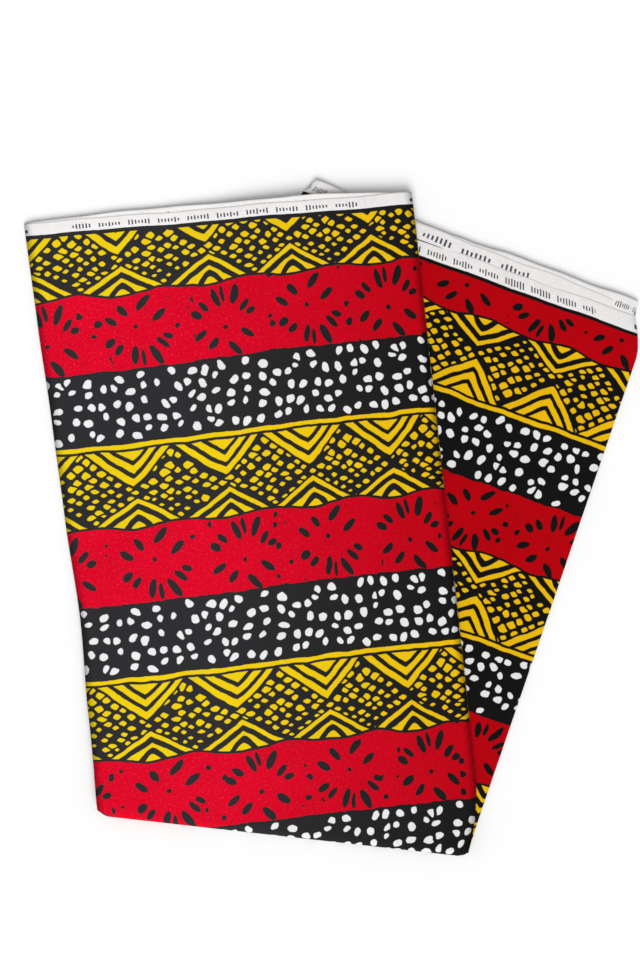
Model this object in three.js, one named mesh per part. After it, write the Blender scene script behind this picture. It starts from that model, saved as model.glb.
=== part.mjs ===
import * as THREE from "three";

// A length of printed cotton cloth, folded and laid flat. The cloth is lapped edge over edge into a strip
// fifteen layers deep, and the strip is folded once across on a slant, so that a front wing lies on a back
// wing and the two fan out from one folded end. Both selvedges lie at the far ends of the wings.
// Millimetres, +Z up, the underside on z = 0. +Y runs from the fold to the selvedges.

// The cut and its folding.
const clothLength = 5486;
const layerCount = 15;
const layerPitch = 0.48;
const stripWidth = clothLength / layerCount;
const stackDepth = layerCount * layerPitch;

// The pieces: walls for the stretches that show, and the air between neighbours.
const wall = 1.1;
const seam = 0.3;
const facingGap = 0.4;
const axisGap = 0.4;

// The slanted fold: its left end, its fall to the right, and the width of the cloth that goes round it.
const foldLeft = new THREE.Vector2(-218.268, -282.393);
const foldTilt = 6.4;
const foldWidth = 348;
const foldRadius = stackDepth + facingGap / 2;
const coreRadius = 0.05;

// The long edges of each wing: length from the fold to the selvedge, and lean off +Y towards +X.
const wings = {
  front: {
    width: stripWidth,
    left: { length: 565, lean: -7.1 },
    right: { length: 634, lean: -6.25 },
  },
  back: {
    width: foldWidth,
    left: { length: 616, lean: 17.9 },
    right: { length: 536, lean: 18.9 },
  },
};

// The front wing's right edge is drawn in towards the fold, and the back wing's right corner at the selvedge.
const foldPinch = { inset: stripWidth - foldWidth, length: 92, power: 2.2 };
const cornerPinch = { inset: 14.5, length: 38, power: 1.6 };
const foldCorner = { reach: 11, least: 0.45 };

// How far the front wing's left edge bows in, at even places from the selvedge to the fold.
const leftBow = [-3, -2, 0, 1, 4, 0.8, -1.5];

// Where the front wing slides off the back wing's left edge, it comes down to the floor over this width.
const dropStart = 6;
const dropWidth = 120;

// Heights above the surface where the wings face each other, so that the outermost layer is the highest.
const outerLayer = { low: stackDepth - wall, high: stackDepth };
const secondLayer = { low: outerLayer.low - seam - wall, high: outerLayer.low - seam };
const frontCore = { low: 0, high: secondLayer.low - seam };
const innerLayer = { low: 0, high: wall };
const innerSecond = { low: innerLayer.high + seam, high: innerLayer.high + seam + wall };
const innerThird = { low: innerSecond.high + seam, high: innerSecond.high + seam + wall };
const backCore = { low: innerThird.high + seam, high: outerLayer.low - seam };

// How far a piece stands out past its wing's selvedge line, at even places from the left edge to the right.
const reaches = {
  even: [0, 0],
  frontSecond: [0.5, 4.3, 4.6, 4.8, 0.8],
  frontCore: [0, 3.4, 3.8, 3.8, 0],
  backSecond: [18, 14.5, 12.5, 10.5, 7.5],
  backThird: [21, 15.5, 14, 15, 14],
  backCore: [10, 12, 12, 13, 11],
  under: [6, 5, 4, 4, 3],
};

// How the stepped ends of the hidden layers run: distance in from the piece's own end, and the share of its
// depth that has begun there, counted from the side that shows.
const endSteps = [
  { inwards: 0, share: 0.34 },
  { inwards: 2.4, share: 0.67 },
  { inwards: 4.8, share: 1 },
];
const stepRiser = 0.5;

// Side edges: how far the hidden pieces stand in from the panels', and the ridges of a bundle's folded edges.
const secondInset = 0.9;
const coreInset = 1.6;
const turnInset = 1.5;
const ridgeDepth = 0.6;
const ridgeRoot = 0.1;
const coreRidges = 3;

// The grid of points: columns across the strip, rows along each wing after the first, and steps of the turn.
const columnCount = 16;
const cornerColumns = [0, 2, 5, foldCorner.reach];
const firstRow = 8;
const frontRowCount = 13;
const rowPlaces = {
  front: Array.from({ length: frontRowCount + 1 }, (_, i) => i / frontRowCount),
  back: [0, 0.03, 0.06, 0.37, 0.68, 1],
};
const turnSteps = 8;

const radians = THREE.MathUtils.degToRad;
const mix = THREE.MathUtils.lerp;
const soft = THREE.MathUtils.smoothstep;

// The places across the strip where every piece has a column of points, closer together near the edges.
const columnPlaces = [
  ...cornerColumns,
  ...Array.from({ length: columnCount - 1 }, (_, i) => ((i + 1) * stripWidth) / columnCount),
  ...cornerColumns.map((x) => stripWidth - x).toReversed(),
];

const tilt = radians(foldTilt);
const foldRun = new THREE.Vector2(Math.cos(tilt), -Math.sin(tilt));
const foldOut = new THREE.Vector2(-Math.sin(tilt), -Math.cos(tilt));

// The value at u, from 0 to 1, in a list of evenly spaced values, eased between neighbours.
function along(values, u) {
  const place = THREE.MathUtils.clamp(u, 0, 1) * (values.length - 1);
  const index = Math.min(Math.floor(place), values.length - 2);
  return mix(values[index], values[index + 1], soft(place - index, 0, 1));
}

// How far an edge is drawn in, at a distance from the end that is pinched.
function pinched(pinch, distance) {
  return pinch.inset * Math.max(0, 1 - Math.max(0, distance) / pinch.length) ** pinch.power;
}

// The plan point on a wing at x mm from the strip's left edge. It lies t mm from the selvedge line towards
// the fold, and then the given fraction of the way from there to the fold's axis.
function planPoint(wing, x, t, fraction) {
  const corners = ["left", "right"].map((side) => {
    const lean = radians(wing[side].lean);
    const axisDistance = foldRadius / Math.cos(lean + tilt);
    const distance = mix(wing[side].length - t, axisDistance, fraction);
    const start = foldLeft.clone().addScaledVector(foldRun, side === "left" ? 0 : wing.width);
    start.add(new THREE.Vector2(Math.sin(lean), Math.cos(lean)).multiplyScalar(distance));
    return { start, distance };
  });
  const fromFold = corners[1].distance;
  const fromSelvedge = wing.right.length - fromFold;
  const front = wing === wings.front;
  const leftInset = front ? along(leftBow, fromSelvedge / wing.right.length) : 0;
  const rightInset = front ? pinched(foldPinch, fromFold) : pinched(cornerPinch, fromSelvedge);
  const share = mix(leftInset, wing.width - rightInset, x / stripWidth) / wing.width;
  return corners[0].start.lerp(corners[1].start, share);
}

// The height of what the front wing lies on: the back wing, then the floor past its left edge.
function support(point) {
  const lean = radians(wings.back.left.lean);
  const outwards = new THREE.Vector2(-Math.cos(lean), Math.sin(lean));
  const distance = point.clone().sub(foldLeft).dot(outwards);
  return (stackDepth + facingGap) * (1 - soft(distance, dropStart, dropStart + dropWidth));
}

// A point of a wing at x along the strip and h above the facing surface.
function wingPoint(wing, x, h, t, fraction) {
  const plan = planPoint(wing, x, t, fraction);
  const height = wing === wings.front ? support(plan) + h : stackDepth - h;
  return new THREE.Vector3(plan.x, plan.y, height);
}

// A point on the way round the fold. The turn is 0 where the front wing leaves the axis and pi where the
// back wing does, and the bundle thins to a rounded corner at each end of the fold.
function turnPoint(x, h, turn, centre, innerRadius) {
  const plan = planPoint(wings.front, x, 0, 1).lerp(planPoint(wings.back, x, 0, 1), turn / Math.PI);
  const fromEnd = THREE.MathUtils.clamp(Math.min(x, stripWidth - x) / foldCorner.reach, 0, 1);
  const corner = Math.max(foldCorner.least, Math.sqrt(1 - (1 - fromEnd) ** 2));
  const radius = innerRadius + h;
  plan.addScaledVector(foldOut, radius * Math.sin(turn) * corner);
  return new THREE.Vector3(plan.x, plan.y, centre + radius * Math.cos(turn));
}

// The closed outline of a bundle in x and h: a plain underside and top, and sides of rounded ridges.
function outline(inset, low, high, ridges) {
  const left = inset;
  const right = stripWidth - inset;
  const columns = columnPlaces.map((x) => THREE.MathUtils.clamp(x, left, right));
  const rise = (high - low) / ridges;
  const side = [];
  for (let ridge = 0; ridge < ridges; ridge++) {
    const base = low + ridge * rise;
    if (ridge > 0) side.push({ out: ridgeRoot, h: base });
    side.push({ out: ridgeDepth, h: base + rise * 0.3 });
    side.push({ out: ridgeDepth, h: base + rise * 0.7 });
  }
  return [
    ...columns.map((x) => ({ x, h: low })),
    ...side.map(({ out, h }) => ({ x: right + out, h })),
    ...columns.toReversed().map((x) => ({ x, h: high })),
    ...side.toReversed().map(({ out, h }) => ({ x: left - out, h })),
  ];
}

// The flat end of a bundle: quads between the columns above and below, and the ridges at each side.
function capTriangles(section) {
  const columns = columnPlaces.length;
  const sidePoints = section.length / 2 - columns;
  const above = (i) => 2 * columns + sidePoints - 1 - i;
  const triangles = [];
  for (let i = 0; i < columns - 1; i++) {
    triangles.push([i, i + 1, above(i + 1)], [i, above(i + 1), above(i)]);
  }
  for (const first of [columns - 1, above(0)]) {
    const side = Array.from({ length: sidePoints + 2 }, (_, i) => (first + i) % section.length);
    const flat = side.map((i) => new THREE.Vector2(section[i].x, section[i].h));
    for (const corners of THREE.ShapeUtils.triangulateShape(flat, [])) {
      triangles.push(corners.map((corner) => side[corner]));
    }
  }
  return triangles;
}

// A closed body through rings of equal length, from the selvedge end on, capped at both ends. Its quads are
// split along the same slant above and below, so that neighbours with the same columns stay parallel.
function loft(rings, section, mirrored) {
  const count = rings[0].length;
  const last = (rings.length - 1) * count;
  const triangles = [];
  for (const [a, b, c] of capTriangles(section)) {
    triangles.push([a, c, b], [last + a, last + b, last + c]);
  }
  for (let ring = 0; ring < rings.length - 1; ring++) {
    for (let i = 0; i < count; i++) {
      const here = ring * count + i;
      const beside = ring * count + ((i + 1) % count);
      if (i < columnPlaces.length) {
        triangles.push([here, beside, here + count]);
        triangles.push([beside, beside + count, here + count]);
      } else {
        triangles.push([here, beside, beside + count]);
        triangles.push([here, beside + count, here + count]);
      }
    }
  }
  if (mirrored) triangles.forEach((triangle) => triangle.reverse());
  const geometry = new THREE.BufferGeometry();
  const positions = rings.flat().flatMap((point) => point.toArray());
  geometry.setAttribute("position", new THREE.Float32BufferAttribute(positions, 3));
  geometry.setIndex(triangles.flat());
  geometry.computeVertexNormals();
  return geometry;
}

// The rings at a piece's selvedge end. A stepped end has a step for each group of hidden layers, and the
// group on the side that shows stands out the furthest.
function endRings({ wing, levels, reach, stepped, corner, inset, ridges }) {
  const depth = levels.high - levels.low;
  const steps = stepped ? endSteps : [{ inwards: 0, share: 1 }];
  const stations = steps.flatMap(({ inwards, share }, i) => {
    const cut = wing === wings.front
      ? { low: levels.high - share * depth, high: levels.high }
      : { low: levels.low, high: levels.low + share * depth };
    const riser = steps.slice(i + 1, i + 2).map((next) => ({ ...cut, inwards: next.inwards - stepRiser }));
    return [{ ...cut, inwards }, ...riser];
  });
  return stations.map(({ low, high, inwards }) =>
    outline(inset, low, high, ridges).map(({ x, h }) => {
      const u = x / stripWidth;
      return wingPoint(wing, x + corner * (1 - u) ** 4, h, inwards - along(reach, u), 0);
    }),
  );
}

// One piece of cloth, or one bundle of layers, from its selvedge end to the fold and on round it.
//   wing, levels      the wing it lies in, and its heights above the facing surface
//   reach, stepped    how far its end stands past the selvedge line, and whether that end is stepped
//   corner            how far its left corner is drawn in at the selvedge
//   lip               whether it has a row of points on the selvedge line as well
//   inset, ridges     how far its sides stand in, and the ridges on them
//   stop              how far short of the fold's axis it stops, if it doesn't go round
//   turns             the part of the turn it goes through, with that turn's centre and inner radius
function clothPiece(shape) {
  const piece = { corner: 0, inset: 0, ridges: 1, stop: 0, ...shape };
  const { wing, levels, lip, inset, ridges, stop, turns } = piece;
  const rings = endRings(piece);
  const whole = outline(inset, levels.low, levels.high, ridges);
  if (lip) rings.push(whole.map(({ x, h }) => wingPoint(wing, x, h, 0, 0)));
  for (const place of wing === wings.front ? rowPlaces.front : rowPlaces.back) {
    const fraction = Math.min(place, 1 - stop / wing.left.length);
    rings.push(whole.map(({ x, h }) => wingPoint(wing, x, h, firstRow, fraction)));
  }
  if (turns) {
    const { low, high } = { ...levels, ...turns };
    const turned = outline(inset + turns.inset, low, high, ridges);
    const steps = turnSteps * Math.abs(turns.to - turns.from);
    for (let step = turns.firstStep; step <= steps; step++) {
      const turn = Math.PI * mix(turns.from, turns.to, step / steps);
      rings.push(turned.map(({ x, h }) => turnPoint(x, h, turn, turns.centre, turns.innerRadius)));
    }
  }
  return loft(rings, whole, wing === wings.back);
}

// The turns, in shares of half a circle from the front wing to the back. The front pieces already have the
// ring where the turn begins.
const frontQuarter = {
  from: 0,
  to: 0.5,
  firstStep: 1,
  inset: turnInset,
  centre: stackDepth + facingGap - coreRadius,
  innerRadius: coreRadius,
};
const backQuarter = {
  from: 1,
  to: 0.5,
  firstStep: 0,
  low: 0,
  high: backCore.high - seam,
  inset: turnInset,
  centre: stackDepth + coreRadius,
  innerRadius: coreRadius,
};
const wholeTurn = { from: 0, to: 1, firstStep: 1, inset: 0, centre: foldRadius, innerRadius: facingGap / 2 };

const printed = 0xb3061c;
const bare = 0xe9e6e4;

const pieces = [
  {
    name: "front_panel",
    color: printed,
    wing: wings.front,
    levels: outerLayer,
    reach: reaches.even,
    turns: wholeTurn,
  },
  {
    name: "front_second_layer",
    color: bare,
    wing: wings.front,
    levels: secondLayer,
    reach: reaches.frontSecond,
    lip: true,
    inset: secondInset,
    turns: frontQuarter,
  },
  {
    name: "front_inner_layers",
    color: printed,
    wing: wings.front,
    levels: frontCore,
    reach: reaches.frontCore,
    stepped: true,
    inset: coreInset,
    ridges: coreRidges,
    turns: frontQuarter,
  },
  {
    name: "back_panel",
    color: printed,
    wing: wings.back,
    levels: innerLayer,
    reach: reaches.even,
    stop: 4 * axisGap,
  },
  {
    name: "back_second_layer",
    color: bare,
    wing: wings.back,
    levels: innerSecond,
    reach: reaches.backSecond,
    corner: 10,
    inset: secondInset,
    stop: 4 * axisGap,
  },
  {
    name: "back_third_layer",
    color: bare,
    wing: wings.back,
    levels: innerThird,
    reach: reaches.backThird,
    corner: 12,
    inset: secondInset,
    stop: 4 * axisGap,
  },
  {
    name: "back_inner_layers",
    color: printed,
    wing: wings.back,
    levels: backCore,
    reach: reaches.backCore,
    stepped: true,
    corner: 6,
    inset: coreInset,
    stop: axisGap,
    turns: backQuarter,
  },
  {
    name: "under_panel",
    color: printed,
    wing: wings.back,
    levels: outerLayer,
    reach: reaches.under,
    stop: axisGap,
  },
];

const root = new THREE.Group();
for (const { name, color, ...shape } of pieces) {
  const material = new THREE.MeshStandardMaterial({ color, roughness: 0.85, metalness: 0 });
  const mesh = new THREE.Mesh(clothPiece(shape), material);
  mesh.name = name;
  root.add(mesh);
}

export default root;
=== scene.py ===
import math
from functools import partial

import bpy
import numpy as np
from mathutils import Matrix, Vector


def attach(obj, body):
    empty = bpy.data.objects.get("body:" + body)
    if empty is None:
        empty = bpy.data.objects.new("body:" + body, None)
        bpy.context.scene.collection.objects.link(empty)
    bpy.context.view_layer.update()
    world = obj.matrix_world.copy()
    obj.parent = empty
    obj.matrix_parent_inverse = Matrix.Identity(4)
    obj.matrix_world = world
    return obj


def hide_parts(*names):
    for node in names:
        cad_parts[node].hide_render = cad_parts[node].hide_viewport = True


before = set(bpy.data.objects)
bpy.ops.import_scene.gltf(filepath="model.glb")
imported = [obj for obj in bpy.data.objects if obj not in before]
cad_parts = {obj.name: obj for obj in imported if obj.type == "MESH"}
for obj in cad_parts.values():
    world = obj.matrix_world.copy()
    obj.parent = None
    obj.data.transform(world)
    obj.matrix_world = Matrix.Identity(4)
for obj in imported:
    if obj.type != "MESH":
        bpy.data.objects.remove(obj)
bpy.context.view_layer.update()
print("frame loaded")

mm = 0.001

# The folding, in millimetres: a strip of lapped layers, folded once across on a slant.
folding = {
    "clothLength": 5486,
    "layers": 15,
    "stackDepth": 7.2,
    "facingGap": 0.4,
    "foldLeft": (-218.268, -282.393),
    "foldTilt": 6.4,
    "foldWidth": 348.0,
    "foldCorner": (11.0, 0.45),          # the rounding at each end of the fold: its reach and least share
    "frontLeft": (565.0, -7.1),          # length from the fold to the selvedge, and lean off +Y
    "frontRight": (634.0, -6.25),
    "backLeft": (616.0, 17.9),
    "backRight": (536.0, 18.9),
    "leftBow": (-3, -2, 0, 1, 4, 0.8, -1.5),
    "foldPinch": (17.733, 92.0, 2.2),    # inset, length and power
    "cornerPinch": (14.5, 38.0, 1.6),
    "dropStart": 6.0,
    "dropWidth": 120.0,
    "edgeRoll": (9.0, 0.68),             # the rounding at the long edges: its reach and share
    "rollFade": 45,                      # it sets in over this way from the fold
    "endRoll": (14.0, 0.14),             # the rounding at the selvedges
    "fadeLength": 600,                   # a wing's round length, for what fades out near its ends
}

stripWidth = folding["clothLength"] / folding["layers"]
stackDepth = folding["stackDepth"]
foldRadius = stackDepth + folding["facingGap"] / 2
tilt = math.radians(folding["foldTilt"])
foldLeft = np.array(folding["foldLeft"])
foldRun = np.array([math.cos(tilt), -math.sin(tilt)])
foldOut = np.array([-math.sin(tilt), -math.cos(tilt)])


def smooth(value):
    value = np.clip(value, 0, 1)
    return value * value * (3 - 2 * value)


# Eases between evenly spaced values, from the first at 0 to the last at 1.
def along(values, share):
    values = np.asarray(values, float)
    place = np.clip(share, 0, 1) * (len(values) - 1)
    index = np.minimum(place.astype(int), len(values) - 2)
    return values[index] + (values[index + 1] - values[index]) * smooth(place - index)


def pinched(pinch, distance):
    inset, length, power = pinch
    return inset * np.maximum(0, 1 - np.maximum(0, distance) / length) ** power


# Where a wing lies in plan: x across the strip, and the share of the way from the piece's own end
# to the fold.
def planPoint(wing, x, reach, share):
    width = stripWidth if wing == "front" else folding["foldWidth"]
    edges = []
    for side in ("Left", "Right"):
        length, lean = folding[wing + side]
        lean = math.radians(lean)
        axis = foldRadius / math.cos(lean + tilt)
        distance = (length + reach) * (1 - share) + axis * share
        start = foldLeft + foldRun * (0 if side == "Left" else width)
        heading = np.array([math.sin(lean), math.cos(lean)])
        edges.append((start + heading * distance[..., None], distance, length, axis))
    fromFold = edges[1][1]
    fromEnd = edges[1][2] - fromFold
    if wing == "front":
        leftInset = along(folding["leftBow"], fromEnd / edges[1][2])
        rightInset = pinched(folding["foldPinch"], fromFold)
    else:
        leftInset = 0
        rightInset = pinched(folding["cornerPinch"], fromEnd)
    across = x / stripWidth
    place = (leftInset * (1 - across) + (width - rightInset) * across) / width
    point = edges[0][0] * (1 - place[..., None]) + edges[1][0] * place[..., None]
    length = edges[0][2] * (1 - across) + edges[1][2] * across
    axis = edges[0][3] * (1 - across) + edges[1][3] * across
    return point, (length + reach - axis) * share


# The height that the front wing lies at: on the back wing, then down on the floor past its left edge.
def support(point):
    lean = math.radians(folding["backLeft"][1])
    outwards = (point - foldLeft) @ np.array([-math.cos(lean), math.sin(lean)])
    return (stackDepth + folding["facingGap"]) * (
        1 - smooth((outwards - folding["dropStart"]) / folding["dropWidth"]))


# Lays points of the flat strip in place. A station runs 0 to 1 down the front wing, 1 to 2 round the fold
# and 2 to 3 up the back wing. Gives the places, and how far each point is from either selvedge.
def layStrip(x, station, height, reachFront, reachBack):
    place = np.zeros(x.shape + (3,))
    fromSide = np.minimum(x, stripWidth - x)
    rollWidth, rollShare = folding["edgeRoll"]
    endWidth, endShare = folding["endRoll"]
    edges = {}
    for wing, reach, share in (
        ("front", reachFront, np.clip(station, 0, 1)),
        ("back", reachBack, np.clip(3 - station, 0, 1)),
    ):
        point, travelled = planPoint(wing, x, reach, share)
        whole = planPoint(wing, x, reach, np.ones_like(share))[1]
        nearFold = smooth((1 - share) * folding["backLeft"][0] / folding["rollFade"])
        rounding = 1 - np.sqrt(1 - np.clip(1 - fromSide / rollWidth, 0, 1) ** 2)
        roll = 1 - rollShare * rounding * nearFold
        roll *= 1 - endShare * np.clip(1 - travelled / endWidth, 0, 1) ** 2
        if wing == "front":
            z = support(point) + height * roll
        else:
            z = (stackDepth - height) * roll
        edges[wing] = (point, z, travelled, whole)
    turn = np.clip(station - 1, 0, 1) * math.pi
    cornerReach, cornerLeast = folding["foldCorner"]
    inwards = np.clip(fromSide / cornerReach, 0, 1)
    corner = np.maximum(cornerLeast, np.sqrt(1 - (1 - inwards) ** 2))
    radius = folding["facingGap"] / 2 + height
    mixed = turn / math.pi
    point = edges["front"][0] * (1 - mixed[..., None]) + edges["back"][0] * mixed[..., None]
    point = point + foldOut * (radius * np.sin(turn) * corner)[..., None]
    onFront = station <= 1
    onBack = station >= 2
    for mask, xy, z in (
        (onFront, edges["front"][0], edges["front"][1]),
        (onBack, edges["back"][0], edges["back"][1]),
        (~onFront & ~onBack, point, foldRadius + radius * np.cos(turn)),
    ):
        place[mask, :2] = xy[mask]
        place[mask, 2] = z[mask]
    fromFront = edges["front"][2] + radius * turn + np.where(onBack, edges["back"][3] - edges["back"][2], 0)
    fromBack = edges["front"][3] + edges["back"][3] + radius * math.pi - fromFront
    return place, fromFront, fromBack


# The print lies a little skew on the cloth. Across: where four motifs lie, at three places down the
# front wing.
registration = {
    "motifSpacing": 82.0,
    "frontDown": (30, 250, 468),
    "frontMotifs": ((84, 167.3, 245.2, 321.3), (71.3, 160.7, 240.7, 317.3), (56, 144.7, 231, 309.7)),
    "frontRise": (0, 0, 1.6, 5, 7, 9.2, 11.4, 11.4),
    "backDown": (0, 53.3, 130, 198, 263.2, 341.5, 406, 469, 640),
    "backPrint": (1233.3, 1173.3, 1096.3, 1026.3, 953.3, 876.3, 806.3, 733.3, 562.3),
    "backMotif": (215.0, 110.0, -0.0285),
}


def stretchAcross(x, motifs):
    spacing = registration["motifSpacing"]
    index = np.arange(1, len(motifs) + 1) * spacing
    inner = np.interp(x, motifs, index)
    low = index[0] + (x - motifs[0]) * spacing / (motifs[1] - motifs[0])
    high = index[-1] + (x - motifs[-1]) * spacing / (motifs[-1] - motifs[-2])
    return np.where(x < motifs[0], low, np.where(x > motifs[-1], high, inner))


# Where the print lies: by the front wing's rule, by the back wing's, or between the two where it can't
# be seen.
def printPlace(x, fromFront, fromBack, backShare):
    down = registration["frontDown"]
    rows = [stretchAcross(x, motifs) for motifs in registration["frontMotifs"]]
    firstShare = np.clip((fromFront - down[0]) / (down[1] - down[0]), -1, 1)
    lastShare = np.clip((fromFront - down[1]) / (down[2] - down[1]), 0, 1)
    frontX = rows[0] + (rows[1] - rows[0]) * firstShare + (rows[2] - rows[1]) * lastShare
    frontDown = fromFront + along(registration["frontRise"], x / stripWidth)
    motif, at, drift = registration["backMotif"]
    backX = x - motif - (fromBack - at) * drift + 3 * registration["motifSpacing"]
    backDown = np.interp(fromBack, registration["backDown"], registration["backPrint"])
    backDown = backDown - np.maximum(fromBack - registration["backDown"][-1], 0)
    placeX = frontX + (backX - frontX) * backShare
    return np.stack([placeX, frontDown + (backDown - frontDown) * backShare], -1)


# Where the bare edge ends and the print begins, counted from the back selvedge, and from the front one.
borders = {"back": (0, 15.3, 18.3, 640), "front": (0, 11.7, 15.7, 637.4)}


# The cloth's own map: the way along it, and the way from the nearer selvedge.
def clothPlace(run, fromFront, fromBack):
    fromEdge = np.minimum(fromFront, np.interp(fromBack, borders["back"], borders["front"]))
    return np.stack([run, fromEdge], -1)


def hexColour(code, alpha=True):
    parts = [int(code[i:i + 2], 16) / 255 for i in (0, 2, 4)]
    linear = [part / 12.92 if part <= 0.04045 else ((part + 0.055) / 1.055) ** 2.4 for part in parts]
    return (*linear, 1.0) if alpha else tuple(linear)


# Adds one node with its settings and links, and gives the output asked for. A kind given in short is a
# shader node.
def addNode(tree, kind, inputs=(), operation=None, output=0, **settings):
    node = tree.nodes.new(kind if "Node" in kind else "ShaderNode" + kind)
    if operation:
        node.operation = operation
    for name, value in settings.items():
        setattr(node, name, value)
    for key, value in inputs.items() if isinstance(inputs, dict) else enumerate(inputs):
        if isinstance(value, bpy.types.NodeSocket):
            tree.links.new(value, node.inputs[key])
        elif value is not None:
            node.inputs[key].default_value = value
    return node.outputs[output] if len(node.outputs) else node


# The printed design, in millimetres on the cloth. Each colour: with the most painted shade, and with the
# most painted light.
waxPrint = {
    "repeat": 220.0,
    "firstLine": 216.3,
    "backStart": 680.0,  # beyond this the print shows on the back wing
    "line": 4.6,
    "slowWander": (28, 4.6),  # how long and how far hand-cut edges wander
    "fineWander": (7, 1.3, 3.2),  # the last for blocks, pebbles and specks
    "dyeEdge": (-0.1, 0.6),
    "dyes": {"red": ("9e0009", "c60222"), "yellow": ("cea309", "d7ba0d"), "white": ("cdcccb", "d5d4d6")},
    "ground": ("0f0e0e", "282729"),
}

# Chevrons hang from the line: their depth, how far the arms reach, and the strokes inside, from and to.
chevrons = {
    "top": 6.6,
    "depth": 34.5,
    "left": 43.5,
    "right": 34.0,
    "gap": 2.2,
    "bow": 1.12,
    "strokes": ((0, 7.9), (12.3, 20.0)),
    "heart": 24.2,
    "slant": 0.75,
}

# Peaks stand on the red band, a little aside of the chevrons' tips, to the other side on the back wing.
peaks = {
    "top": 52.2,
    "height": 25.5,
    "aside": -2.2,
    "backAside": 7.0,
    "halfStroke": 2.6,
    "body": 10.6,
    "arches": ((12.6, 13.0), (6.6, 7.4)),  # height and half width: the black arch, and the heart in it
    "archBow": 1.5,
    "slant": 0.85,
}

# The red band, with a waving upper edge.
redBand = {"start": 79.5, "wave": 2.6, "end": 150.5, "outline": 1.9}

# Blocks fill a lattice of crossing rows, which crowd together towards the red. Apart and beside
# give a factor and an offset.
blocks = {
    "spacing": 14.9,
    "rows": (0.072, 0.00032),  # in a millimetre at the top, and more for each below
    "randomness": 0.4,
    "squareness": 3.2,
    "size": (0.335, -0.0021, 0.14),  # at the top, for each millimetre below, and at random
    "apart": (10.0, -0.95),
    "cell": 10.0,  # what 1 in the lattice counts as
    "rounding": (1.0, 2.4),
    "sunk": 9.0,  # how far outside itself a hidden block lies
    "clear": -0.9,  # a block shows if its middle lies this far outside what is drawn
    "besideChevrons": (-0.75, -1.7),
    "besidePeaks": (-0.85, -1.5),
}

# White pebbles in rows on the black band.
pebbles = {
    "spacing": 13.4,
    "rows": 5,
    "rowsKept": (0.22, 0.2),  # how far middles lie inside the first and last row
    "randomness": 0.68,
    "stretch": (0.88, 1.2, 1.0),
    "size": (0.24, 0.12),  # least, and at random
    "turn": 6.28,
    "apart": (13.0, -1.1),
    "cell": 12.5,
    "rounding": (2.4, 2.0),
    "start": 1.6,
    "margins": (1.0, 1.2),
    "spare": 2.0,
}

# Bursts of seeds on the red. A seed: angle, distance of its middle, length, width, how far askew.
bursts = {
    "middle": 116.2,
    "offset": 5.6,
    "down": (107.0, 560.0),  # between these the bursts drift along the band
    "shift": (-12.5, -14.5),
    "backShift": 47.0,
    "backRise": -3.5,
    "lean": 0.18,
    "heart": 2.1,
    "edge": 3.0,
    "seeds": (
        (129, 19.5, 12.5, 6.0, 0),
        (166, 24.5, 12.5, 6.0, -24),
        (70, 23.0, 16.5, 6.4, -21),
        (22, 23.0, 14.5, 6.0, 18),
        (208, 30.5, 11.0, 6.4, 10),
        (226, 29.0, 11.5, 5.2, 0),
        (255, 28.5, 17.0, 6.0, -5),
        (269, 31.0, 14.0, 3.8, -9),
        (291, 31.5, 18.0, 7.0, 0),
        (317, 27.0, 12.5, 5.6, -8),
        (335, 29.0, 8.5, 5.8, 0),
    ),
}

# Loose specks between the bursts.
specks = {"spacing": 15, "size": (-0.11, 0.34), "cell": 15.0, "fromBurst": 29.0}

# The bare edge, with groups of plain registration dashes and a tick at every fold.
selvedge = {
    # the bare edge's colour with the most painted shade, and with the most painted light
    "bare": ("d2d0cf", "dddbda"),
    "mark": "434246",
    "width": 11.7,
    "printFrom": 15.5,
    "wander": 0.7,
    "blur": 0.25,
    "dashBlur": 0.2,
    "dashSpacing": 3.1,
    "halfDash": 0.72,
    "dashMiddle": 7.2,
    "halfLength": (1.1, 1.6),  # least, and at random
    "group": (9, 7),  # places in a group, and those with a dash
    "stretch": (426.7, 183.0, 138.0),  # dashed stretches: spacing, middle and half length
    "tick": (3.0, 7.6, 1.5),  # half width, middle and half height
}

# Painted light and shade, and wear. A range: from and to, then what it gives there, if not 0 and 1.
wearAndPaintedShade = {
    # painted light: colours grow lighter along this stretch of the cloth, then darker over the next one
    "paintedLitRange": (400.0, 5100.0),  # way along the cloth
    "paintedShadeRange": (5250.0, 5486.0, 0.0, 0.85),
    "thread": (1.3, 0.14),  # how fine across and along
    "threadShade": (0.6, 1.4, 0.91, 1.09),
    "cloud": 35,  # how long
    "cloudShade": (0.3, 0.7, 0.96, 1.04),
    "yarnAndPaintedShade": (0.3, 1.3, 0.72),  # way from the selvedge
    "paintedEdgeShade": (-1.5, 9.5, 0.4),  # way from a long edge
    "fleck": (0.56, 0.8, 0.0, 0.065),
    "fleckTint": (1.0, 0.45, 0.35),
}


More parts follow.
